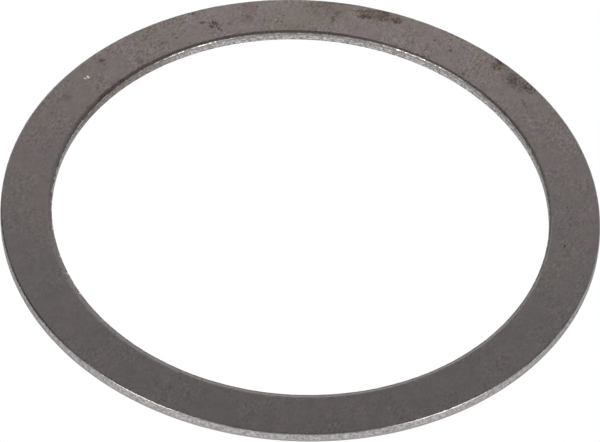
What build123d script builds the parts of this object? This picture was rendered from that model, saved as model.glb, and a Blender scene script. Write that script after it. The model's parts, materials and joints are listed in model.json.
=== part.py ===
from build123d import *

import os
from dataclasses import dataclass

# Shim ring: a flat steel ring, punched from sheet. One punch pierces the hole from above,
# and a second one drives the ring down through its die, so the hole's rounded edge is on
# the upper face, and the rim's is on the lower.
# Millimetres. The axis is Z, and the ring lies on its flat underside at Z = 0.

# Driving dimensions: the ring as it measures, for a 95 mm shaft and a 115 mm housing
HOLE_DIAMETER = 95.1
OUTER_DIAMETER = 114.7
THICKNESS = 2.1

# The smooth upright land on each sheared edge
LAND_HEIGHT = 0.4


@dataclass
class ShearedEdge:
    """A sheared edge across the thickness: roll, land, fracture and broken corner.

    The roll is the rounding where the sheet was drawn in. The fracture leans into the
    steel, and the corner after it was broken when the burr was taken off. outward is 1 on
    the rim and -1 in the hole.
    """

    radius: float
    outward: int
    rolled_above: bool
    roll_width: float
    roll_depth: float
    lean: float
    corner_width: float
    corner_depth: float

    def point(self, inset, depth):
        """The point at an inset into the steel and a depth below the rolled face."""
        height = THICKNESS - depth if self.rolled_above else depth
        return (self.radius - self.outward * inset, height)

    def roll(self):
        """The arc that leaves the rolled face smoothly and meets the land."""
        start = self.point(self.roll_width, 0)
        end = self.point(0, self.roll_depth)
        return TangentArc(start, end, tangent=(self.outward, 0))

    def wall(self):
        """The land, the leaning fracture and the broken corner."""
        land_start = self.point(0, self.roll_depth)
        land_end = self.point(0, self.roll_depth + LAND_HEIGHT)
        fracture_end = self.point(self.lean, THICKNESS - self.corner_depth)
        corner_end = self.point(self.lean + self.corner_width, THICKNESS)
        return Polyline(land_start, land_end, fracture_end, corner_end)


HOLE = ShearedEdge(
    radius=HOLE_DIAMETER / 2,
    outward=-1,
    rolled_above=True,
    roll_width=0.87,
    roll_depth=0.45,
    lean=0.03,
    corner_width=0.03,
    corner_depth=0.03,
)
RIM = ShearedEdge(
    radius=OUTER_DIAMETER / 2,
    outward=1,
    rolled_above=False,
    roll_width=0.35,
    roll_depth=0.3,
    lean=0.13,
    corner_width=0.17,
    corner_depth=0.2,
)


def section():
    """The ring's cross-section, on the XZ plane."""
    hole_roll = HOLE.roll()
    hole_wall = HOLE.wall()
    rim_roll = RIM.roll()
    rim_wall = RIM.wall()
    upper_face = Line(rim_wall @ 1, hole_roll @ 0)
    lower_face = Line(hole_wall @ 1, rim_roll @ 0)
    outline = [hole_roll, hole_wall, lower_face, rim_roll, rim_wall, upper_face]
    return Plane.XZ * make_face(outline)


def shim_ring():
    """The whole ring, as one solid."""
    return revolve(section(), Axis.Z)


os.makedirs("parts", exist_ok=True)
export_step(shim_ring(), "parts/shim_ring.step")
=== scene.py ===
import json
import logging
import math
from collections.abc import Callable
from dataclasses import dataclass
from enum import Enum

import bmesh
import bpy
from mathutils import Matrix, Vector

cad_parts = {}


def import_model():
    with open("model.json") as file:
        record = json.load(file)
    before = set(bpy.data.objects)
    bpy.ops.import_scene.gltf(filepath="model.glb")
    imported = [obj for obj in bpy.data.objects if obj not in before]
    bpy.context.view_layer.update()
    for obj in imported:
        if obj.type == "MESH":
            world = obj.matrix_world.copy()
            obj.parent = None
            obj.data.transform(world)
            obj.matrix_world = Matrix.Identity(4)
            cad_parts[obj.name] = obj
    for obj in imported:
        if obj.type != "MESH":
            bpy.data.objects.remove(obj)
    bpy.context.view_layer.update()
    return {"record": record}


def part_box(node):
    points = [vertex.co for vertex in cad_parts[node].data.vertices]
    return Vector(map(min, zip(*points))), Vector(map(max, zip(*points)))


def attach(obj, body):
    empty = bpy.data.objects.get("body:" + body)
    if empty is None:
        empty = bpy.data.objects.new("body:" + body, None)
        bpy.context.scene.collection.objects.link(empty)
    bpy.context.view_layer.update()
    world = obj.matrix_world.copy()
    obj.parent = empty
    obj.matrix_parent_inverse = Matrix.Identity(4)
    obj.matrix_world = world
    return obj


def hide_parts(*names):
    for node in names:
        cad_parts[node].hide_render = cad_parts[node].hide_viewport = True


LOG = logging.getLogger("shim_ring")

MM = 0.001
MERGE_DISTANCE = 0.0005 * MM
SHARP_ANGLE = math.radians(50)

# The share of a land's height, to either side of its end, that is neither land nor fracture
LAND_MARGIN = 0.01

# The share of the hole's roll above its rubbed foot, and how far below the rim's broken
# corner the steel was rubbed too
ROLL_ABOVE_FOOT = 0.9
CORNER_MARGIN = 0.05 * MM

# A length so great that a pattern doesn't change along it
WITHOUT_END = 1e3

RING_NODE = "shim_ring"
RING_BODY = "root"

Point = tuple[float, float, float]
Pair = tuple[float, float]
Material = bpy.types.Material
Socket = bpy.types.NodeSocket
Value = float | tuple[float, ...] | Socket

ORIGIN: Point = (0.0, 0.0, 0.0)
UNIT: Point = (1.0, 1.0, 1.0)


class Side(Enum):
    """Which way a sheared edge faces, seen from inside the steel."""

    HOLE = -1
    RIM = 1


class Face(Enum):
    """The face of the ring that an edge's roll is on, as the way it looks along Z."""

    LOWER = -1
    UPPER = 1


class Zone(Enum):
    """The stretches of a sheared edge, and the mixed ones that its wear and finish need."""

    REACH = "reach"
    SINK = "sink"
    LAND = "land"
    TEAR_LINE = "tear_line"
    FRACTURE = "fracture"
    CORNER = "corner"
    WALL = "wall"


# ---------------------------------------------------------------- modelling helpers


def deselect_all() -> None:
    """Leaves no object selected or active."""
    bpy.ops.object.select_all(action="DESELECT")
    bpy.context.view_layer.objects.active = None


def select_points(piece: bpy.types.Object, test: Callable[[Vector], bool]) -> None:
    """Selects, in edit mode, the points that pass a test, and nothing else.

    Args:
        piece: The object in edit mode.
        test: Takes a point in metres and says whether it belongs.
    """
    mesh = bmesh.from_edit_mesh(piece.data)
    for point in mesh.verts:
        point.select_set(test(point.co))
    mesh.select_flush_mode()
    bmesh.update_edit_mesh(piece.data)


def cut_selected(place: Vector, normal: Point) -> None:
    """Cuts the selected edges with a plane, however near their ends are to it.

    Args:
        place: A point on the plane.
        normal: The plane's normal.
    """
    bpy.ops.mesh.bisect(plane_co=place, plane_no=normal, threshold=MERGE_DISTANCE)


def apply_modifier(piece: bpy.types.Object, kind: str, **settings: object) -> None:
    """Adds one modifier to the active object, sets it and applies it.

    Args:
        piece: The active object, in object mode.
        kind: The modifier's type.
        **settings: The modifier's properties.
    """
    modifier = piece.modifiers.new(kind.lower(), kind)
    for name, value in settings.items():
        setattr(modifier, name, value)
    bpy.ops.object.modifier_apply(modifier=modifier.name)


def cloud(name: str, lump: float, layers: int) -> bpy.types.Texture:
    """A soft random texture for displacement.

    Args:
        name: The texture's name.
        lump: The size of its lumps, in metres.
        layers: How many finer layers are added.

    Returns:
        The texture.
    """
    texture = bpy.data.textures.new(name, "CLOUDS")
    texture.noise_scale = lump
    texture.noise_depth = layers
    texture.noise_basis = "ORIGINAL_PERLIN"
    return texture


# ---------------------------------------------------------------- the ring


@dataclass(frozen=True)
class Wear:
    """One way that an edge is uneven.

    It moves a zone along an axis, or NORMAL, by a share of that zone's swing. lump is the
    size of its lumps in metres, and layers is how many finer ones are added.
    """

    name: str
    zone: Zone
    direction: str
    share: float
    lump: float
    layers: int


WEAR = (
    Wear("sink", Zone.SINK, "Z", 1.0, 7.0 * MM, 1),
    Wear("jolt", Zone.SINK, "Z", 0.5, 0.9 * MM, 2),
    Wear("tear", Zone.TEAR_LINE, "Z", 1.0, 0.5 * MM, 2),
    Wear("land", Zone.LAND, "NORMAL", 0.3, 0.6 * MM, 1),
    Wear("grain", Zone.FRACTURE, "NORMAL", 1.0, 0.3 * MM, 2),
    Wear("dents", Zone.CORNER, "NORMAL", 1.0, 2.5 * MM, 1),
    Wear("nicks", Zone.CORNER, "NORMAL", 0.7, 0.5 * MM, 2),
)


@dataclass(frozen=True)
class ShearedEdge:
    """One sheared edge across the sheet: roll, land, fracture and broken corner.

    Its lengths are in metres. The roll is where the sheet was drawn in, and the corner
    is where the burr was taken off. roll_drift is how far the punch pulled the start of
    the roll along X and Y, which makes it wider on one side of the ring. The swings are
    how unevenly the steel sank, tore and was broken. support_gap is how far from the edge
    the faces are cut, and tear_reach and round_reach are how far the tear line and the
    corner's rounding spread, in lands and in roundings.
    """

    side: Side
    rolled_face: Face
    radius: float
    thickness: float
    roll_width: float
    roll_depth: float
    land_height: float
    lean: float
    corner_width: float
    corner_depth: float
    corner_round: float
    roll_steps: int
    roll_drift: Pair
    sink_swing: float
    tear_swing: float
    grain_swing: float
    corner_swing: float
    support_gap: float = 0.12 * MM
    tear_reach: float = 0.75
    round_reach: float = 0.9

    @property
    def land_end(self) -> float:
        """How deep below the rolled face the land ends."""
        return self.roll_depth + self.land_height

    @property
    def corner_start(self) -> float:
        """How deep below the rolled face the broken corner begins."""
        return self.thickness - self.corner_depth

    @property
    def corner_reach(self) -> float:
        """How far into the steel the broken corner goes."""
        return self.lean + self.corner_width

    @property
    def corner_far(self) -> float:
        """How far into the steel the rounding beyond the broken corner goes."""
        return self.corner_reach + self.corner_round

    @property
    def fracture_end(self) -> float:
        """How deep below the rolled face the rounding of the broken corner begins."""
        return self.corner_start - self.round_reach * self.corner_round

    def group(self, zone: Zone) -> str:
        """The name of this edge's vertex group for a zone."""
        return f"{self.side.name.lower()}_{zone.value}"

    def inset(self, point: Vector) -> float:
        """How far a point of the section lies into the steel from this edge."""
        return (self.radius - point.x) * self.side.value

    def depth(self, point: Vector) -> float:
        """How far a point of the section lies from the rolled face."""
        return self.thickness - point.z if self.rolled_face is Face.UPPER else point.z

    def place(self, inset: float, depth: float) -> Vector:
        """The point of the section at an inset and a depth."""
        height = self.thickness - depth if self.rolled_face is Face.UPPER else depth
        return Vector((self.radius - self.side.value * inset, 0.0, height))

    def swing(self, zone: Zone) -> float:
        """How unevenly a zone was left.

        Args:
            zone: The zone, one that wears.

        Returns:
            The most that it swings, in metres.
        """
        swings = {
            Zone.SINK: self.sink_swing,
            Zone.TEAR_LINE: self.tear_swing,
            Zone.LAND: self.grain_swing,
            Zone.FRACTURE: self.grain_swing,
            Zone.CORNER: self.corner_swing,
        }
        return swings[zone]

    def is_at(self, point: Vector, inset: float, depth: float) -> bool:
        """Whether a point of the section is the one at an inset and a depth."""
        return (point - self.place(inset, depth)).length < MERGE_DISTANCE

    def shares(self, point: Vector) -> dict[Zone, float]:
        """How far each zone holds a point of the section.

        Args:
            point: The point, in metres.

        Returns:
            A share from 0 to 1 for each zone.
        """
        inset = self.inset(point)
        depth = self.depth(point)
        roll_far = self.roll_width + MERGE_DISTANCE
        on_roll = depth < self.roll_depth + MERGE_DISTANCE and inset < roll_far
        by_roll = depth < self.roll_depth and inset < roll_far + self.support_gap
        near_wall = inset < self.corner_far + MERGE_DISTANCE
        on_wall = depth > self.roll_depth - MERGE_DISTANCE and near_wall
        on_corner = on_wall and depth > self.fracture_end
        land_left = (self.land_end - depth) / self.land_height
        tear_gap = abs(depth - self.land_end) / (self.tear_reach * self.land_height)
        torn = land_left < -LAND_MARGIN and not on_corner
        return {
            Zone.REACH: min(1.0, inset / self.roll_width) if by_roll else 0.0,
            Zone.SINK: depth / self.roll_depth if on_roll else on_wall * max(0.0, land_left),
            Zone.LAND: float(on_wall and land_left > LAND_MARGIN),
            Zone.TEAR_LINE: on_wall * max(0.0, 1.0 - tear_gap),
            Zone.FRACTURE: float(on_wall and torn),
            Zone.CORNER: float(on_corner and depth < self.thickness - MERGE_DISTANCE),
            Zone.WALL: float(on_wall or (on_roll and self.rolled_face is Face.LOWER)),
        }


@dataclass(frozen=True)
class PunchedRing:
    """The steel ring: a section with two sheared edges, turned about Z."""

    hole: ShearedEdge
    rim: ShearedEdge
    turn_steps: int = 2160
    land_cuts: int = 2
    fracture_cuts: int = 6
    corner_round_steps: int = 3

    @property
    def edges(self) -> tuple[ShearedEdge, ShearedEdge]:
        """Both sheared edges, the hole's first."""
        return (self.hole, self.rim)

    def build(self) -> bpy.types.Object:
        """Models the whole ring.

        Returns:
            The ring, as a closed mesh in its place.
        """
        ring = self._blank()
        for edge in self.edges:
            self._roll_corner(ring, edge)
            self._end_land(ring, edge)
            self._break_corner(ring, edge)
            self._divide_wall(ring, edge)
            self._support_faces(ring, edge)
        bpy.ops.mesh.select_all(action="SELECT")
        bpy.ops.mesh.remove_doubles(threshold=MERGE_DISTANCE)
        bpy.ops.object.mode_set(mode="OBJECT")
        for edge in self.edges:
            self._mark_zones(ring, edge)
        self._turn(ring)
        for edge in self.edges:
            self._wear(ring, edge)
        self._close(ring)
        return ring

    def _blank(self) -> bpy.types.Object:
        """The section's plain outline on the XZ plane, in edit mode.

        Returns:
            The outline, as wide and as thick as the ring's section.
        """
        deselect_all()
        bpy.ops.mesh.primitive_plane_add(size=1.0, rotation=(math.pi / 2, 0, 0))
        ring = bpy.context.object
        ring.name = "punched_ring"
        bpy.ops.object.transform_apply(location=True, rotation=True, scale=True)
        bpy.ops.object.mode_set(mode="EDIT")
        bpy.ops.mesh.select_mode(type="VERT")
        bpy.ops.mesh.select_all(action="SELECT")
        width = self.rim.radius - self.hole.radius
        middle = (self.rim.radius + self.hole.radius) / 2
        thickness = self.rim.thickness
        bpy.ops.transform.resize(value=(width, 1, thickness))
        bpy.ops.transform.translate(value=(middle, 0, thickness / 2))
        bpy.ops.mesh.delete(type="ONLY_FACE")
        return ring

    def _take_off(
        self, ring: bpy.types.Object, corner: Vector, on_face: Vector, on_wall: Vector
    ) -> None:
        """Takes a corner off the outline, from a point on its face to one on its wall.

        Args:
            ring: The outline, in edit mode.
            corner: The corner.
            on_face: Where the cut leaves the face.
            on_wall: Where the cut meets the wall.
        """
        select_points(ring, lambda p: abs(p.z - corner.z) < MERGE_DISTANCE)
        cut_selected(on_face, (1, 0, 0))
        select_points(ring, lambda p: abs(p.x - corner.x) < MERGE_DISTANCE)
        cut_selected(on_wall, (0, 0, 1))
        select_points(ring, lambda p: (p - corner).length < MERGE_DISTANCE)
        bpy.ops.mesh.delete(type="VERT")

    def _roll_corner(self, ring: bpy.types.Object, edge: ShearedEdge) -> None:
        """Gives an edge its roll: an arc that leaves the face smoothly and meets the land.

        Args:
            ring: The outline, in edit mode.
            edge: The edge to round.
        """
        start = edge.place(edge.roll_width, 0)
        self._take_off(ring, edge.place(0, 0), start, edge.place(0, edge.roll_depth))
        turn = 2 * math.atan(edge.roll_depth / edge.roll_width)
        bend = edge.roll_width / math.sin(turn)
        direction = -edge.side.value * edge.rolled_face.value
        select_points(ring, lambda p: edge.is_at(p, edge.roll_width, 0))
        bpy.ops.mesh.spin(
            steps=edge.roll_steps,
            angle=direction * turn,
            center=edge.place(edge.roll_width, bend),
            axis=(0, 1, 0),
        )

    def _end_land(self, ring: bpy.types.Object, edge: ShearedEdge) -> None:
        """Ends an edge's land, while its wall is still upright.

        Args:
            ring: The outline, in edit mode.
            edge: The edge whose land ends.
        """
        select_points(ring, lambda p: abs(edge.inset(p)) < MERGE_DISTANCE)
        cut_selected(edge.place(0, edge.land_end), (0, 0, 1))

    def _break_corner(self, ring: bpy.types.Object, edge: ShearedEdge) -> None:
        """Breaks the corner where an edge's burr was, and rounds the two ends of the break.

        Args:
            ring: The outline, in edit mode.
            edge: The edge whose corner is broken.
        """
        on_face = edge.place(edge.corner_reach, edge.thickness)
        on_wall = edge.place(0, edge.corner_start)
        self._take_off(ring, edge.place(0, edge.thickness), on_face, on_wall)

        def is_end(point: Vector) -> bool:
            """Whether a point is an end of the break."""
            on_lean = edge.is_at(point, edge.lean, edge.corner_start)
            return on_lean or edge.is_at(point, edge.corner_reach, edge.thickness)

        select_points(ring, lambda p: edge.is_at(p, 0, edge.corner_start))
        bpy.ops.transform.translate(value=(-edge.side.value * edge.lean, 0, 0))
        select_points(ring, is_end)
        bpy.ops.mesh.edge_face_add()
        if edge.corner_round:
            bpy.ops.mesh.bevel(
                offset=edge.corner_round, segments=self.corner_round_steps, affect="VERTICES"
            )

    def _divide_wall(self, ring: bpy.types.Object, edge: ShearedEdge) -> None:
        """Divides an edge's land and fracture, so that they can be worn.

        Args:
            ring: The outline, in edit mode.
            edge: The edge whose wall is divided.
        """

        def on_wall(point: Vector, start: float, end: float) -> bool:
            """Whether a point is on the wall, from one depth to another."""
            near = edge.inset(point) < edge.lean + MERGE_DISTANCE
            return near and start - MERGE_DISTANCE < edge.depth(point) < end + MERGE_DISTANCE

        select_points(ring, lambda p: on_wall(p, edge.roll_depth, edge.land_end))
        bpy.ops.mesh.subdivide(number_cuts=self.land_cuts)
        select_points(ring, lambda p: on_wall(p, edge.land_end, edge.fracture_end))
        bpy.ops.mesh.subdivide(number_cuts=self.fracture_cuts)

    def _support_faces(self, ring: bpy.types.Object, edge: ShearedEdge) -> None:
        """Cuts both faces close to an edge, so that they shade as flat up to it.

        Args:
            ring: The outline, in edit mode.
            edge: The edge whose neighbouring faces are cut.
        """
        for inset, depth in ((edge.roll_width, 0.0), (edge.corner_far, edge.thickness)):
            cut = edge.place(inset + edge.support_gap, depth)
            select_points(ring, lambda p: abs(p.z - cut.z) < MERGE_DISTANCE)
            cut_selected(cut, (1, 0, 0))

    def _mark_zones(self, ring: bpy.types.Object, edge: ShearedEdge) -> None:
        """Gives each point of the outline its share of each zone of an edge.

        Args:
            ring: The outline, in object mode.
            edge: The edge whose zones are marked.
        """
        for zone in Zone:
            group = ring.vertex_groups.new(name=edge.group(zone))
            for point in ring.data.vertices:
                share = edge.shares(point.co)[zone]
                if share > 0.0:
                    group.add([point.index], share, "REPLACE")

    def _turn(self, ring: bpy.types.Object) -> None:
        """Turns the outline about Z into the ring and merges its seam.

        Args:
            ring: The outline, active and in object mode.
        """
        apply_modifier(
            ring,
            "SCREW",
            angle=2 * math.pi,
            axis="Z",
            steps=self.turn_steps,
            render_steps=self.turn_steps,
            use_merge_vertices=True,
            merge_threshold=MERGE_DISTANCE,
        )

    def _wear(self, ring: bpy.types.Object, edge: ShearedEdge) -> None:
        """Draws an edge's roll to one side and makes the edge uneven.

        Args:
            ring: The turned ring, in object mode.
            edge: The edge to work on.
        """
        for axis, drift in zip("XY", edge.roll_drift):
            if drift:
                self._push(ring, edge, Zone.REACH, axis, drift, None, middle=0.0)
        for wear in WEAR:
            strength = wear.share * edge.swing(wear.zone)
            if strength:
                texture = cloud(f"{edge.side.name.lower()}_{wear.name}", wear.lump, wear.layers)
                self._push(ring, edge, wear.zone, wear.direction, strength, texture)

    def _push(
        self,
        ring: bpy.types.Object,
        edge: ShearedEdge,
        zone: Zone,
        direction: str,
        strength: float,
        texture: bpy.types.Texture | None,
        middle: float = 0.5,
    ) -> None:
        """Displaces one zone of an edge.

        Args:
            ring: The turned ring, in object mode.
            edge: The edge to work on.
            zone: The zone that moves.
            direction: The axis, or NORMAL.
            strength: How far it moves, in metres.
            texture: What varies the move, or None for an even one.
            middle: The texture's value that leaves a point where it is.
        """
        apply_modifier(
            ring,
            "DISPLACE",
            direction=direction,
            strength=strength,
            mid_level=middle,
            texture=texture,
            texture_coords="LOCAL",
            vertex_group=edge.group(zone),
        )

    def _close(self, ring: bpy.types.Object) -> None:
        """Merges doubles, turns the faces outwards and smooths the shading.

        Args:
            ring: The worn ring, active and in object mode.
        """
        bpy.ops.object.mode_set(mode="EDIT")
        bpy.ops.mesh.select_all(action="SELECT")
        bpy.ops.mesh.remove_doubles(threshold=MERGE_DISTANCE)
        bpy.ops.mesh.normals_make_consistent(inside=False)
        bpy.ops.object.mode_set(mode="OBJECT")
        bpy.ops.object.shade_smooth_by_angle(angle=SHARP_ANGLE)

    def dress(self, ring: bpy.types.Object, skin: Material, walls: dict[Side, Material]) -> None:
        """Gives the ring its finishes.

        Args:
            ring: The finished mesh, active and in object mode.
            skin: The finish of both faces and of the hole's roll.
            walls: The finish of each sheared wall.
        """
        ring.data.materials.append(skin)
        for edge in self.edges:
            ring.data.materials.append(walls[edge.side])
            ring.active_material_index = len(ring.data.materials) - 1
            bpy.ops.object.mode_set(mode="EDIT")
            bpy.ops.mesh.select_all(action="DESELECT")
            ring.vertex_groups.active_index = ring.vertex_groups[edge.group(Zone.WALL)].index
            bpy.ops.object.vertex_group_select()
            bpy.ops.object.material_slot_assign()
            bpy.ops.object.mode_set(mode="OBJECT")


# ---------------------------------------------------------------- finishes


@dataclass(frozen=True)
class Grain:
    """A random pattern: the size of its lumps in metres, its finer layers and their strength."""

    size: float
    layers: float = 2.0
    strength: float = 0.5


@dataclass(frozen=True)
class Span:
    """A smooth step: the two values that it lies between and the levels that they give."""

    low: float
    high: float
    to_low: float = 0.0
    to_high: float = 1.0

    @classmethod
    def rise(cls, level: float, half: float) -> "Span":
        """The step from 0 up to 1, half to either side of a level."""
        return cls(level - half, level + half)

    @classmethod
    def fall(cls, level: float, half: float) -> "Span":
        """The step from 1 down to 0, half to either side of a level."""
        return cls(level - half, level + half, 1.0, 0.0)


class NodeDesk:
    """One node tree, with a short method for each kind of node in use."""

    def __init__(self, tree: bpy.types.NodeTree, place: str) -> None:
        """Takes a node tree.

        Args:
            tree: The tree.
            place: The coordinates that its patterns are read in.
        """
        self.tree = tree
        self.place = tree.nodes.new("ShaderNodeTexCoord").outputs[place]

    def feed(self, target: Socket, value: Value) -> None:
        """Links a socket to another, or sets it to a plain value.

        Args:
            target: The socket that is fed.
            value: A socket, a number, a vector or a colour.
        """
        if isinstance(value, bpy.types.NodeSocket):
            self.tree.links.new(value, target)
        elif isinstance(value, tuple) and len(value) == 3 and len(target.default_value) == 4:
            target.default_value = (*value, 1.0)
        else:
            target.default_value = value

    def math(self, operation: str, first: Value, second: Value = 0.0) -> Socket:
        """One step of arithmetic.

        Args:
            operation: The Math node's operation.
            first: Its first number.
            second: Its second number.

        Returns:
            The result.
        """
        node = self.tree.nodes.new("ShaderNodeMath")
        node.operation = operation
        self.feed(node.inputs[0], first)
        self.feed(node.inputs[1], second)
        return node.outputs[0]

    def noise(self, grain: Grain, place: Socket | None = None) -> Socket:
        """Random lumps, from 0 to 1.

        Args:
            grain: The pattern.
            place: Where it is read, or None for the desk's own place.

        Returns:
            The lumps.
        """
        node = self.tree.nodes.new("ShaderNodeTexNoise")
        self.feed(node.inputs["Vector"], self.place if place is None else place)
        node.inputs["Scale"].default_value = 1.0 / grain.size
        node.inputs["Detail"].default_value = grain.layers
        node.inputs["Roughness"].default_value = grain.strength
        return node.outputs["Fac"]

    def swing(self, grain: Grain, place: Socket | None = None) -> Socket:
        """Random lumps, from -0.5 to 0.5."""
        return self.math("SUBTRACT", self.noise(grain, place), 0.5)

    def moved(self, centre: Point = ORIGIN, turn: float = 0.0, size: Point = UNIT) -> Socket:
        """The place measured from a centre, turned about Z and in units of a size.

        Args:
            centre: The new origin, in metres.
            turn: The turn of the new X axis, in radians.
            size: The length of one unit along each new axis, in metres.

        Returns:
            The new place.
        """
        node = self.tree.nodes.new("ShaderNodeMapping")
        node.vector_type = "TEXTURE"
        self.feed(node.inputs["Vector"], self.place)
        node.inputs["Location"].default_value = centre
        node.inputs["Rotation"].default_value = (0.0, 0.0, turn)
        node.inputs["Scale"].default_value = size
        return node.outputs["Vector"]

    def along(self, axis: str) -> Socket:
        """How far along an axis the place is.

        Args:
            axis: X, Y or Z.

        Returns:
            The coordinate.
        """
        node = self.tree.nodes.new("ShaderNodeSeparateXYZ")
        self.feed(node.inputs[0], self.place)
        return node.outputs[axis]

    def length(self, place: Socket) -> Socket:
        """How far a place is from its origin.

        Args:
            place: The place.

        Returns:
            The distance.
        """
        node = self.tree.nodes.new("ShaderNodeVectorMath")
        node.operation = "LENGTH"
        self.feed(node.inputs[0], place)
        return node.outputs["Value"]

    def scaled(self, colour: Value, factor: Value) -> Socket:
        """A colour made brighter or darker.

        Args:
            colour: The colour.
            factor: How many times brighter it becomes.

        Returns:
            The new colour.
        """
        node = self.tree.nodes.new("ShaderNodeVectorMath")
        node.operation = "SCALE"
        self.feed(node.inputs[0], colour)
        self.feed(node.inputs["Scale"], factor)
        return node.outputs["Vector"]

    def product(self, *factors: Value) -> Socket:
        """Several numbers multiplied.

        Args:
            *factors: The numbers.

        Returns:
            Their product.
        """
        result = factors[0]
        for factor in factors[1:]:
            result = self.math("MULTIPLY", result, factor)
        return result

    def remap(self, value: Value, span: Span) -> Socket:
        """A smooth step from one level to another, held level outside.

        Args:
            value: What is read.
            span: The step.

        Returns:
            The level.
        """
        node = self.tree.nodes.new("ShaderNodeMapRange")
        node.interpolation_type = "SMOOTHSTEP"
        self.feed(node.inputs["Value"], value)
        node.inputs["From Min"].default_value = span.low
        node.inputs["From Max"].default_value = span.high
        node.inputs["To Min"].default_value = span.to_low
        node.inputs["To Max"].default_value = span.to_high
        return node.outputs["Result"]

    def mix(self, amount: Value, first: Value, second: Value) -> Socket:
        """Two colours mixed.

        Args:
            amount: The second colour's share.
            first: The first colour.
            second: The second colour.

        Returns:
            The colour.
        """
        node = self.tree.nodes.new("ShaderNodeMix")
        node.data_type = "RGBA"
        self.feed(node.inputs[0], amount)
        self.feed(node.inputs[6], first)
        self.feed(node.inputs[7], second)
        return node.outputs[2]

    def bump(self, height: Socket, distance: float) -> Socket:
        """A bumped normal.

        Args:
            height: The pattern, from 0 to 1.
            distance: How high 1 stands, in metres.

        Returns:
            The normal.
        """
        node = self.tree.nodes.new("ShaderNodeBump")
        node.inputs["Distance"].default_value = distance
        self.feed(node.inputs["Height"], height)
        return node.outputs["Normal"]


class FinishDesk(NodeDesk):
    """A new material's node tree."""

    def __init__(self, name: str) -> None:
        """Makes the material and its shader.

        Args:
            name: The material's name.
        """
        self.material = bpy.data.materials.new(name)
        self.material.use_nodes = True
        self.shader = self.material.node_tree.nodes["Principled BSDF"]
        super().__init__(self.material.node_tree, "Object")

    def plate(self, colour: Socket, metallic: float, edge_tint: float, rough: Socket) -> None:
        """Sets the shader up as metal.

        Args:
            colour: The metal's colour.
            metallic: How much of it is bare metal.
            edge_tint: How bright it stays at a grazing angle.
            rough: Its roughness.
        """
        self.feed(self.shader.inputs["Base Color"], colour)
        self.shader.inputs["Metallic"].default_value = metallic
        self.feed(self.shader.inputs["Specular Tint"], (edge_tint,) * 3)
        self.feed(self.shader.inputs["Roughness"], rough)


class Finish(Enum):
    """The colours of the marks on the steel."""

    RED_RUST = (0.118, 0.066, 0.056)
    BROWN_RUST = (0.100, 0.077, 0.056)
    DARK_RUST = (0.055, 0.036, 0.031)
    GREY_SCALE = (0.085, 0.070, 0.066)
    BARE_CHIP = (0.850, 0.700, 0.690)


@dataclass(frozen=True)
class Stain:
    """One mark on the upper face: a ragged soft oval.

    Its place is a radius in millimetres and an azimuth in degrees from +X. Its length,
    along the rim, and its width are in millimetres, and it is turned from the rim's
    direction by degrees. Its raggedness is how far it breaks up into specks.
    """

    name: str
    radius: float
    azimuth: float
    length: float
    width: float
    turn: float
    finish: Finish
    strength: float
    raggedness: float

    def centre(self) -> Point:
        """Where the mark lies on the XY plane, in metres."""
        angle = math.radians(self.azimuth)
        return (self.radius * MM * math.cos(angle), self.radius * MM * math.sin(angle), 0.0)

    def bearing(self) -> float:
        """Which way the mark's length runs, in radians from +X."""
        return math.radians(self.azimuth + 90.0 + self.turn)

    def size(self) -> Point:
        """Half the mark's length and width in metres, and a height without end."""
        return (self.length * MM / 2, self.width * MM / 2, WITHOUT_END)


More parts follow.
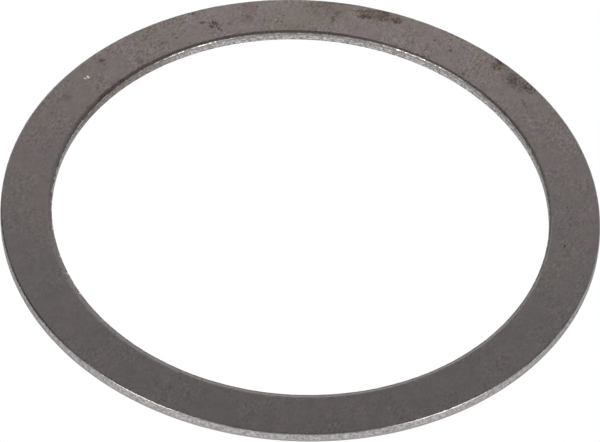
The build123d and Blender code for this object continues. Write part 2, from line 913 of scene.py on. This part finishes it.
STAINS = (
    Stain("patch_haze", 55.2, 76.3, 9.5, 3.4, 6.0, Finish.BROWN_RUST, 0.65, 1.2),
    Stain("patch_middle", 55.3, 74.8, 3.0, 3.4, 0.0, Finish.BROWN_RUST, 0.8, 1.0),
    Stain("patch_dark_end", 55.2, 71.8, 3.0, 2.2, 10.0, Finish.RED_RUST, 0.8, 0.9),
    Stain("patch_end_core", 54.7, 71.6, 1.7, 1.1, 12.0, Finish.DARK_RUST, 0.7, 1.0),
    Stain("patch_upper_streak", 55.7, 79.0, 6.4, 0.8, 13.0, Finish.RED_RUST, 0.7, 0.9),
    Stain("patch_low_streak", 54.0, 78.6, 3.6, 1.4, 9.0, Finish.DARK_RUST, 0.75, 1.0),
    Stain("rim_streak", 56.7, 84.6, 8.0, 0.6, 1.0, Finish.DARK_RUST, 0.6, 0.9),
    Stain("rim_streak_end", 56.6, 75.5, 4.0, 0.7, 4.0, Finish.DARK_RUST, 0.6, 0.9),
    Stain("cross_streak", 52.1, 85.1, 1.0, 3.0, 0.0, Finish.GREY_SCALE, 0.8, 1.0),
    Stain("cross_streak_top", 53.9, 84.3, 1.4, 1.6, 0.0, Finish.GREY_SCALE, 0.6, 1.1),
    Stain("brown_haze", 54.4, 86.7, 9.0, 5.0, 0.0, Finish.BROWN_RUST, 0.3, 1.1),
    Stain("rim_haze", 55.9, 89.5, 5.0, 2.2, 0.0, Finish.BROWN_RUST, 0.4, 1.1),
    Stain("spot_62", 53.4, 62.1, 0.7, 1.1, 0.0, Finish.DARK_RUST, 0.5, 0.6),
    Stain("corner_smear", 55.9, 47.3, 3.2, 3.6, 0.0, Finish.BROWN_RUST, 0.85, 2.0),
    Stain("corner_smear_core", 56.6, 48.0, 2.0, 1.0, 0.0, Finish.DARK_RUST, 0.75, 1.0),
    Stain("corner_smear_foot", 54.2, 47.4, 0.9, 1.9, 0.0, Finish.RED_RUST, 0.6, 0.9),
    Stain("side_cluster", 54.9, 42.2, 2.4, 2.2, 20.0, Finish.DARK_RUST, 0.75, 2.2),
    Stain("side_cluster_haze", 55.2, 41.5, 8.0, 4.4, 0.0, Finish.GREY_SCALE, 0.6, 1.9),
    Stain("rim_cluster", 56.2, 38.5, 3.4, 2.2, 0.0, Finish.DARK_RUST, 0.65, 2.2),
    Stain("side_streak", 52.6, 35.6, 3.6, 0.6, -12.0, Finish.GREY_SCALE, 0.5, 0.9),
    Stain("spot_58", 52.8, 57.7, 0.7, 1.3, 0.0, Finish.DARK_RUST, 0.6, 0.7),
    Stain("spot_51", 48.9, 51.1, 0.8, 0.6, 0.0, Finish.DARK_RUST, 0.7, 0.5),
    Stain("pit_group_head", 53.4, 114.0, 1.3, 0.7, 0.0, Finish.DARK_RUST, 0.85, 0.9),
    Stain("pit_group", 52.2, 111.9, 2.4, 2.2, 30.0, Finish.DARK_RUST, 0.8, 1.2),
    Stain("pit_group_tail", 50.7, 110.9, 1.3, 1.8, 0.0, Finish.DARK_RUST, 0.65, 1.2),
    Stain("spot_121", 51.3, 121.2, 0.9, 0.5, 0.0, Finish.DARK_RUST, 0.7, 0.5),
    Stain("spot_119", 52.5, 118.7, 0.6, 0.5, 0.0, Finish.DARK_RUST, 0.5, 0.5),
    Stain("spot_101", 55.4, 101.5, 0.9, 0.7, 0.0, Finish.DARK_RUST, 0.7, 0.7),
    Stain("spot_97", 50.7, 96.7, 0.6, 0.9, 0.0, Finish.DARK_RUST, 0.6, 0.6),
    Stain("red_haze_103", 55.0, 103.0, 3.2, 4.6, 0.0, Finish.RED_RUST, 0.35, 1.2),
    Stain("red_haze_105", 52.2, 104.3, 3.6, 3.4, 0.0, Finish.BROWN_RUST, 0.35, 1.2),
    Stain("chip_left", 53.7, 144.8, 0.5, 0.9, 20.0, Finish.BARE_CHIP, 0.7, 0.6),
    Stain("chip_right", 53.5, 144.1, 0.6, 1.1, -25.0, Finish.BARE_CHIP, 0.8, 0.6),
    Stain("smudge_139", 54.7, 138.5, 2.0, 1.1, -12.0, Finish.DARK_RUST, 0.65, 1.0),
    Stain("smudge_139_foot", 53.4, 138.9, 0.9, 0.9, 0.0, Finish.DARK_RUST, 0.5, 0.7),
    Stain("haze_152", 53.3, 151.8, 2.4, 2.4, 0.0, Finish.DARK_RUST, 0.3, 1.4),
    Stain("hole_tint", 47.9, 145.8, 5.5, 1.6, 0.0, Finish.RED_RUST, 0.45, 0.6),
    Stain("pit_352", 50.9, 351.7, 1.1, 0.4, 5.0, Finish.DARK_RUST, 0.9, 0.3),
    Stain("pit_3", 51.1, 3.2, 0.7, 0.4, 0.0, Finish.DARK_RUST, 0.7, 0.4),
)


@dataclass(frozen=True)
class MillSkin:
    """The oiled skin of rolled sheet: dark warm grey steel, mottled, specked and stained.

    The sheet was rolled at rolled_turn degrees from +X, and its grain is rolled_stretch
    times longer that way. It had rusted more towards +Y, so what is named growth rises
    that way. The hole's roll starts at the height of roll_top, and from roll_fall below it
    the roll carries a painted shade, roll_painted_shade, that is darker towards -Y. Below
    burnish_height it was rubbed bare, in dashes.
    """

    roll_top: float
    burnish_height: float
    clean_steel: Point = (0.208, 0.188, 0.188)
    rusty_steel: Point = (0.214, 0.181, 0.180)
    olive_steel: Point = (0.204, 0.181, 0.160)
    burnished: Point = (0.50, 0.48, 0.475)
    metallic: float = 0.9
    edge_tint: float = 0.4
    burnish_polish: float = 0.16
    rolled_turn: float = 65.0
    rolled_stretch: float = 1.9
    rust_growth: Span = Span(-45.0 * MM, 45.0 * MM)
    patches: Grain = Grain(5.0 * MM, 3.0, 0.6)
    patch_roughness: Span = Span(0.3, 0.7, 0.39, 0.45)
    olive_share: Span = Span(0.42, 0.62)
    olive_growth: Span = Span(-5.0 * MM, 45.0 * MM, 0.25, 0.9)
    mottle: Grain = Grain(2.4 * MM, 2.0, 0.6)
    mottle_shade: Span = Span(0.3, 0.7, 0.95, 1.05)
    grain: Grain = Grain(0.4 * MM, 4.0, 0.65)
    grain_growth: Span = Span(-20.0 * MM, 50.0 * MM, 1.1, 1.8)
    calm: Grain = Grain(6.0 * MM)
    calm_share: Span = Span(0.36, 0.64, 0.4, 1.3)
    pits: Grain = Grain(0.45 * MM, 3.0, 0.65)
    pit_edge: Span = Span(0.89, 1.0)
    pit_growth: Span = Span(-10.0 * MM, 48.0 * MM, 0.0, 0.8)
    crowds: Grain = Grain(4.0 * MM)
    crowd_pull: float = 0.5
    flecks: Grain = Grain(0.42 * MM, 4.0, 0.75)
    fleck_pull: float = 5.0
    stain_fade: Span = Span(0.0, 1.7, 1.0, 0.0)
    stain_edge: Pair = (0.3, 0.85)
    roll_fall: float = 0.1 * MM
    # painted shade on the hole's roll: its level at -Y and at +Y
    roll_painted_shade: Span = Span(-10.0 * MM, 20.0 * MM, 0.58, 0.97)
    dashes: Grain = Grain(0.7 * MM, 2.0, 0.6)
    dash_reach: float = 0.9 * MM
    dash_edge: float = 0.04 * MM
    bumps: Grain = Grain(0.35 * MM)
    bump_height: float = 0.003 * MM

    def make(self) -> Material:
        """Builds the material.

        Returns:
            The material.
        """
        desk = FinishDesk("mill_skin")
        rolled = desk.moved(
            turn=math.radians(self.rolled_turn), size=(self.rolled_stretch, 1.0, 1.0)
        )
        patches = desk.noise(self.patches)
        steel = self._mottled(desk, self._rusted(desk, patches), rolled)
        steel = desk.mix(self._specks(desk, rolled), steel, Finish.DARK_RUST.value)
        # painted shade darkens the hole's roll, more towards -Y, over the stains
        stained_and_shaded = desk.scaled(self._stained(desk, steel, rolled), self._painted_roll_shade(desk))
        upper = desk.math("GREATER_THAN", desk.along("Z"), self.roll_top / 2)
        steel = desk.mix(upper, steel, stained_and_shaded)
        rubbed = desk.product(upper, self._rubbed(desk))
        colour = desk.mix(rubbed, steel, self.burnished)
        rough = desk.remap(patches, self.patch_roughness)
        rough = desk.math("SUBTRACT", rough, desk.product(rubbed, self.burnish_polish))
        desk.plate(colour, self.metallic, self.edge_tint, rough)
        normal = desk.bump(desk.noise(self.bumps), self.bump_height)
        desk.feed(desk.shader.inputs["Normal"], normal)
        return desk.material

    def _rusted(self, desk: NodeDesk, patches: Socket) -> Socket:
        """The steel's colour: redder as it rusts, and olive in patches.

        Args:
            desk: The material's desk.
            patches: Where the patches are.

        Returns:
            The colour.
        """
        rust = desk.remap(desk.along("Y"), self.rust_growth)
        growth = desk.remap(desk.along("Y"), self.olive_growth)
        olive = desk.product(desk.remap(patches, self.olive_share), growth)
        steel = desk.mix(rust, self.clean_steel, self.rusty_steel)
        return desk.mix(olive, steel, self.olive_steel)

    def _mottled(self, desk: NodeDesk, steel: Socket, rolled: Socket) -> Socket:
        """Varies the steel's brightness in soft patches and fine grain.

        Args:
            desk: The material's desk.
            steel: The steel's colour.
            rolled: The place, drawn out the way the sheet was rolled.

        Returns:
            The mottled colour.
        """
        soft = desk.remap(desk.noise(self.mottle), self.mottle_shade)
        growth = desk.remap(desk.along("Y"), self.grain_growth)
        calm = desk.remap(desk.noise(self.calm), self.calm_share)
        fine = desk.math("ADD", desk.product(desk.swing(self.grain, rolled), growth, calm), 1.0)
        return desk.scaled(steel, desk.product(soft, fine))

    def _specks(self, desk: NodeDesk, rolled: Socket) -> Socket:
        """Where the small dark pits are: in loose crowds, where the sheet had rusted most.

        Args:
            desk: The material's desk.
            rolled: The place, drawn out the way the sheet was rolled.

        Returns:
            The pits' share.
        """
        crowd = desk.product(desk.noise(self.crowds), self.crowd_pull)
        level = desk.math("ADD", desk.noise(self.pits, rolled), crowd)
        growth = desk.remap(desk.along("Y"), self.pit_growth)
        return desk.product(desk.remap(level, self.pit_edge), growth)

    def _stained(self, desk: NodeDesk, colour: Socket, rolled: Socket) -> Socket:
        """Lays the stains over a colour.

        Args:
            desk: The material's desk.
            colour: The colour below.
            rolled: The place, drawn out the way the sheet was rolled.

        Returns:
            The stained colour.
        """
        flecks = desk.swing(self.flecks, rolled)
        for stain in STAINS:
            local = desk.moved(stain.centre(), stain.bearing(), stain.size())
            hill = desk.remap(desk.length(local), self.stain_fade)
            pull = self.fleck_pull * stain.raggedness
            torn = desk.math("ADD", desk.product(flecks, pull), 1.0)
            edge = Span(*self.stain_edge, 0.0, stain.strength)
            mask = desk.remap(desk.product(hill, torn), edge)
            colour = desk.mix(mask, colour, stain.finish.value)
            colour.node.label = stain.name
        return colour

    def _painted_roll_shade(self, desk: NodeDesk) -> Socket:
        """How much painted shade darkens the steel on the hole's roll, most towards -Y.

        Args:
            desk: The material's desk.

        Returns:
            The factor, 1 on the face.
        """
        # painted shade: darker towards -Y, the camera's side, and none on the face
        shade = desk.remap(desk.along("Y"), self.roll_painted_shade)
        unshaded = desk.remap(desk.along("Z"), Span(self.roll_top - self.roll_fall, self.roll_top))
        return desk.math("ADD", shade, desk.product(desk.math("SUBTRACT", 1.0, shade), unshaded))

    def _rubbed(self, desk: NodeDesk) -> Socket:
        """Where the foot of the hole's roll was rubbed bare, in dashes.

        Args:
            desk: The material's desk.

        Returns:
            The bare steel's share.
        """
        dashes = desk.product(desk.swing(self.dashes), self.dash_reach)
        ragged = desk.math("ADD", desk.along("Z"), dashes)
        return desk.remap(ragged, Span.fall(self.burnish_height, self.dash_edge))


@dataclass(frozen=True)
class ShearedSteel:
    """Bare sheared steel: a smooth land beside a dull, blotched and gritty fracture.

    land is the height of the land's two ends, and burnish_height the height above which
    the broken corner was rubbed bright. A patchy dark layer, film_and_shade, lies round
    film_and_shade_centre, as X and Y, out to film_and_shade_size, all of it on the broken
    corner and a share, wall_film_and_shade, on the rest: on the hole's wall it is dirt, and
    on the rim's corner it is a painted shade.
    squash is how flat the fracture's pattern lies.
    """

    name: str
    land: Pair
    burnish_height: float
    land_steel: Point
    torn_steel: Point
    blotches: float
    dirt_share: float
    # film_and_shade: dirt on the hole's wall, painted shade on the rim's broken corner
    film_and_shade_centre: Pair
    film_and_shade_size: float
    film_and_shade: Point
    wall_film_and_shade: float
    dirt: Point = (0.13, 0.118, 0.112)
    burnished: Point = (0.27, 0.258, 0.254)
    metallic: float = 0.95
    edge_tint: float = 0.4
    shine: Span = Span(0.0, 1.0, 0.52, 0.34)
    wander: Grain = Grain(0.6 * MM, 3.0, 0.6)
    wander_reach: float = 0.8 * MM
    land_edge: float = 0.04 * MM
    corner_edge: float = 0.03 * MM
    squash: float = 0.75
    blotch: Grain = Grain(0.55 * MM, 2.0, 0.6)
    blotch_range: Pair = (0.32, 0.68)
    grit: Grain = Grain(0.35 * MM, 2.0, 0.6)
    grit_range: Pair = (0.56, 0.70)
    film_and_shade_fade: Span = Span(0.5, 1.1, 0.85, 0.0)
    film_and_shade_patches: Grain = Grain(1.0 * MM, 2.0, 0.6)
    film_and_shade_share: Span = Span(0.35, 0.6, 1.0, 0.55)

    def make(self) -> Material:
        """Builds the material.

        Returns:
            The material.
        """
        desk = FinishDesk(self.name)
        wander = desk.product(desk.swing(self.wander), self.wander_reach)
        ragged = desk.math("ADD", desk.along("Z"), wander)
        low, high = self.land
        above = desk.remap(ragged, Span.rise(low, self.land_edge))
        below = desk.remap(ragged, Span.fall(high, self.land_edge))
        smooth = desk.product(above, below)
        rubbed = desk.remap(ragged, Span.rise(self.burnish_height, self.corner_edge))
        steel = desk.mix(smooth, self._torn(desk), self.land_steel)
        steel = desk.mix(rubbed, steel, self.burnished)
        rough = desk.remap(desk.math("MAXIMUM", smooth, rubbed), self.shine)
        desk.plate(self._filmed_and_shaded(desk, steel, rubbed), self.metallic, self.edge_tint, rough)
        return desk.material

    def _torn(self, desk: NodeDesk) -> Socket:
        """The fracture's colour: blotched, with dark grit.

        Args:
            desk: The material's desk.

        Returns:
            The colour.
        """
        flat = desk.moved(size=(1.0, 1.0, self.squash))
        shades = Span(*self.blotch_range, 1.0 - self.blotches, 1.0 + self.blotches)
        steel = desk.scaled(self.torn_steel, desk.remap(desk.noise(self.blotch, flat), shades))
        gritty = Span(*self.grit_range, 0.0, self.dirt_share)
        return desk.mix(desk.remap(desk.noise(self.grit, flat), gritty), steel, self.dirt)

    def _filmed_and_shaded(self, desk: NodeDesk, steel: Socket, rubbed: Socket) -> Socket:
        """Lays the patchy dark layer: dirt on the hole's wall, painted shade on the rim's
        corner.

        Args:
            desk: The material's desk.
            steel: The steel's colour.
            rubbed: Where the broken corner is.

        Returns:
            The filmed colour.
        """
        size = (self.film_and_shade_size, self.film_and_shade_size, WITHOUT_END)
        spot = desk.moved((*self.film_and_shade_centre, 0.0), size=size)
        spread = desk.remap(desk.length(spot), self.film_and_shade_fade)
        patches = desk.remap(desk.noise(self.film_and_shade_patches), self.film_and_shade_share)
        cover = desk.remap(rubbed, Span(0.0, 1.0, self.wall_film_and_shade, 1.0))
        # the dark layer: dirt on the hole's wall, painted shade on the rim's corner
        return desk.mix(desk.product(spread, patches, cover), steel, self.film_and_shade)


# ---------------------------------------------------------------- the studio


@dataclass(frozen=True)
class SoftBox:
    """One soft lamp that faces the ring.

    Its azimuth is in degrees from the front towards +X, its elevation in degrees, and
    its distance, width and height in metres.
    """

    name: str
    azimuth: float
    elevation: float
    distance: float
    width: float
    height: float
    radiance: float

    def make(self) -> None:
        """Hangs the lamp."""
        turn = math.radians(self.azimuth)
        rise = math.radians(self.elevation)
        level = math.cos(rise)
        back = Vector((math.sin(turn) * level, -math.cos(turn) * level, math.sin(rise)))
        deselect_all()
        bpy.ops.object.light_add(type="AREA", location=back * self.distance)
        lamp = bpy.context.object
        lamp.name = self.name
        lamp.rotation_euler = back.to_track_quat("Z", "Y").to_euler()
        lamp.data.shape = "RECTANGLE"
        lamp.data.size = self.width
        lamp.data.size_y = self.height
        lamp.data.energy = self.radiance * math.pi * self.width * self.height
        lamp.visible_camera = False


@dataclass(frozen=True)
class Studio:
    """The pale floor, the soft lamps, the room's glow and the camera.

    room_glow is the room's brightness at some shares of the way from level to overhead.
    side_dimming, front_dimming and dimming_rise say how it falls off sideways, to the
    front and above the floor, all in parts of a unit direction. The camera's distance and
    aim are in ring radii, and its angles in degrees.
    """

    ring_radius: float
    ring_thickness: float
    floor_size: float = 6.0
    floor_drop: float = 0.05 * MM
    floor_glow: float = 1.0
    camera_distance: float = 11.5
    camera_elevation: float = 46.333
    camera_roll: float = 3.103
    camera_aim: Pair = (-0.0005, -0.0791)
    camera_zoom: float = 5.752
    sensor_width: float = 36.0
    soft_boxes: tuple[SoftBox, ...] = (
        SoftBox("left_box", -47.0, 18.0, 1.0, 0.32, 0.42, 8.8),
        SoftBox("right_box", 49.0, 18.0, 1.0, 0.30, 0.42, 10.6),
        SoftBox("front_box", 0.0, 6.0, 1.0, 1.1, 0.22, 0.5),
        SoftBox("back_box", 180.0, 18.0, 0.42, 0.56, 0.24, 2.5),
    )
    side_dimming: Span = Span(0.25, 0.85, 1.0, 0.35)
    front_dimming: Span = Span(-0.2, -0.7, 1.0, 0.5)
    dimming_rise: Span = Span(0.06, 0.16)
    room_glow: tuple[Pair, ...] = (
        (0.0, 1.0),
        (0.03, 0.95),
        (0.12, 0.48),
        (0.55, 0.42),
        (0.80, 0.28),
        (1.0, 0.26),
    )

    def set_up(self) -> None:
        """Makes everything but the object."""
        self._floor()
        for box in self.soft_boxes:
            box.make()
        self._room()
        self._camera()
        bpy.context.scene.view_settings.view_transform = "Standard"

    def _floor(self) -> None:
        """Lays the floor, just under the ring."""
        deselect_all()
        bpy.ops.mesh.primitive_plane_add(size=self.floor_size, location=(0, 0, -self.floor_drop))
        floor = bpy.context.object
        floor.name = "floor"
        material = bpy.data.materials.new("white_floor")
        material.use_nodes = True
        shader = material.node_tree.nodes["Principled BSDF"]
        shader.inputs["Base Color"].default_value = (0.0, 0.0, 0.0, 1.0)
        shader.inputs["Specular IOR Level"].default_value = 0.0
        shader.inputs["Emission Color"].default_value = (1.0, 1.0, 1.0, 1.0)
        shader.inputs["Emission Strength"].default_value = self.floor_glow
        floor.data.materials.append(material)

    def _room(self) -> None:
        """Lights the room: white near the floor, and darker overhead, in front and beside."""
        world = bpy.data.worlds.new("room")
        bpy.context.scene.world = world
        world.use_nodes = True
        desk = NodeDesk(world.node_tree, "Generated")
        height = desk.along("Z")
        sides = desk.remap(desk.math("ABSOLUTE", desk.along("X")), self.side_dimming)
        front = desk.remap(desk.along("Y"), self.front_dimming)
        dimming = desk.math("SUBTRACT", desk.product(sides, front), 1.0)
        raised = desk.product(dimming, desk.remap(height, self.dimming_rise))
        background = desk.tree.nodes["Background"]
        desk.feed(background.inputs["Strength"], desk.math("ADD", raised, 1.0))
        ramp = desk.tree.nodes.new("ShaderNodeValToRGB")
        desk.feed(ramp.inputs[0], height)
        desk.feed(background.inputs["Color"], ramp.outputs["Color"])
        elements = ramp.color_ramp.elements
        while len(elements) < len(self.room_glow):
            elements.new(0.5)
        for element, (position, level) in zip(elements, self.room_glow):
            element.position = position
            element.color = (level, level, level, 1.0)

    def _camera(self) -> None:
        """Places the camera: in front, looking down, a little rolled."""
        rise = math.radians(self.camera_elevation)
        roll = math.radians(self.camera_roll)
        reach = self.camera_distance * self.ring_radius
        top = Vector((0, 0, self.ring_thickness))
        spot = top + Vector((0, -reach * math.cos(rise), reach * math.sin(rise)))
        aim = top + Vector((*self.camera_aim, 0)) * self.ring_radius
        back = (spot - aim).normalized()
        side = Vector((0, 0, 1)).cross(back).normalized()
        up = back.cross(side)
        right = side * math.cos(roll) + up * math.sin(roll)
        rolled_up = up * math.cos(roll) - side * math.sin(roll)
        deselect_all()
        bpy.ops.object.camera_add()
        camera = bpy.context.object
        camera.name = "camera"
        turn = Matrix((right, rolled_up, back)).transposed().to_4x4()
        camera.matrix_world = Matrix.Translation(spot) @ turn
        camera.data.sensor_width = self.sensor_width
        camera.data.lens = self.sensor_width * self.camera_zoom
        bpy.context.scene.camera = camera


# ---------------------------------------------------------------- the build


def mount_radius(record: dict, name: str) -> float:
    """The radius of one of the record's round mounts, in metres.

    Args:
        record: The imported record.
        name: The mount's name.

    Returns:
        The radius.
    """
    mount = next(m for m in record["mounts"] if m["name"] == name)
    return mount["dims"]["r_mm"] * MM


def make_ring(record: dict, thickness: float) -> PunchedRing:
    """Sets the ring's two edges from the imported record.

    Args:
        record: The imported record.
        thickness: The ring's thickness, in metres.

    Returns:
        The ring's maker.
    """
    hole = ShearedEdge(
        side=Side.HOLE,
        rolled_face=Face.UPPER,
        radius=mount_radius(record, "shaft_bore"),
        thickness=thickness,
        roll_width=0.87 * MM,
        roll_depth=0.45 * MM,
        land_height=0.4 * MM,
        lean=0.03 * MM,
        corner_width=0.03 * MM,
        corner_depth=0.03 * MM,
        corner_round=0.0,
        roll_steps=7,
        roll_drift=(-0.22 * MM, -0.27 * MM),
        sink_swing=0.14 * MM,
        tear_swing=0.20 * MM,
        grain_swing=0.12 * MM,
        corner_swing=0.0,
    )
    rim = ShearedEdge(
        side=Side.RIM,
        rolled_face=Face.LOWER,
        radius=mount_radius(record, "housing_rim"),
        thickness=thickness,
        roll_width=0.35 * MM,
        roll_depth=0.3 * MM,
        land_height=0.4 * MM,
        lean=0.13 * MM,
        corner_width=0.16 * MM,
        corner_depth=0.22 * MM,
        corner_round=0.08 * MM,
        roll_steps=4,
        roll_drift=(0.0, 0.0),
        sink_swing=0.08 * MM,
        tear_swing=0.16 * MM,
        grain_swing=0.10 * MM,
        corner_swing=0.07 * MM,
    )
    return PunchedRing(hole, rim)


def mill_skin(hole: ShearedEdge) -> MillSkin:
    """Sets the finish of both faces and of the hole's roll.

    Args:
        hole: The hole's edge.

    Returns:
        The finish.
    """
    foot = hole.thickness - ROLL_ABOVE_FOOT * hole.roll_depth
    return MillSkin(roll_top=hole.thickness, burnish_height=foot)


def hole_steel(hole: ShearedEdge) -> ShearedSteel:
    """Sets the finish of the hole's wall: heavily blotched, with a patchy brown layer of dirt.

    Args:
        hole: The hole's edge.

    Returns:
        The finish.
    """
    return ShearedSteel(
        name="hole_wall",
        land=(hole.thickness - hole.land_end, hole.thickness),
        burnish_height=hole.thickness,
        land_steel=(0.25, 0.238, 0.234),
        torn_steel=(0.41, 0.395, 0.39),
        blotches=0.45,
        dirt_share=0.85,
        film_and_shade_centre=(-38.0 * MM, 29.0 * MM),
        film_and_shade_size=18.0 * MM,
        film_and_shade=(0.175, 0.140, 0.122),
        wall_film_and_shade=1.0,
    )


def rim_steel(rim: ShearedEdge) -> ShearedSteel:
    """Sets the finish of the rim's wall: cleaner, with a painted shade on the broken corner.

    Args:
        rim: The rim's edge.

    Returns:
        The finish.
    """
    return ShearedSteel(
        name="rim_wall",
        land=(rim.roll_depth, rim.land_end),
        burnish_height=rim.corner_start - CORNER_MARGIN,
        land_steel=(0.36, 0.345, 0.34),
        torn_steel=(0.41, 0.395, 0.39),
        blotches=0.30,
        dirt_share=0.35,
        # painted shade: the broken corner darkened at the left front, where its reflection looks
        # dark
        film_and_shade_centre=(-54.0 * MM, -22.0 * MM),
        film_and_shade_size=24.0 * MM,
        film_and_shade=(0.06, 0.055, 0.052),
        wall_film_and_shade=0.0,
    )


def main() -> None:
    """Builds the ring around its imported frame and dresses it."""
    logging.basicConfig(level=logging.INFO, format="%(message)s")
    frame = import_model()
    low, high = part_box(RING_NODE)
    thickness = high.z - low.z
    maker = make_ring(frame["record"], thickness)
    hole, rim = maker.edges
    ring = maker.build()
    skin = mill_skin(hole)
    walls = {Side.HOLE: hole_steel(hole), Side.RIM: rim_steel(rim)}
    maker.dress(ring, skin.make(), {side: steel.make() for side, steel in walls.items()})
    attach(ring, RING_BODY)
    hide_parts(RING_NODE)
    LOG.info("%s: %d faces", ring.name, len(ring.data.polygons))
    Studio(rim.radius, thickness).set_up()
    LOG.info("studio: floor, lamps, room and camera")


if __name__ == "__main__":
    main()
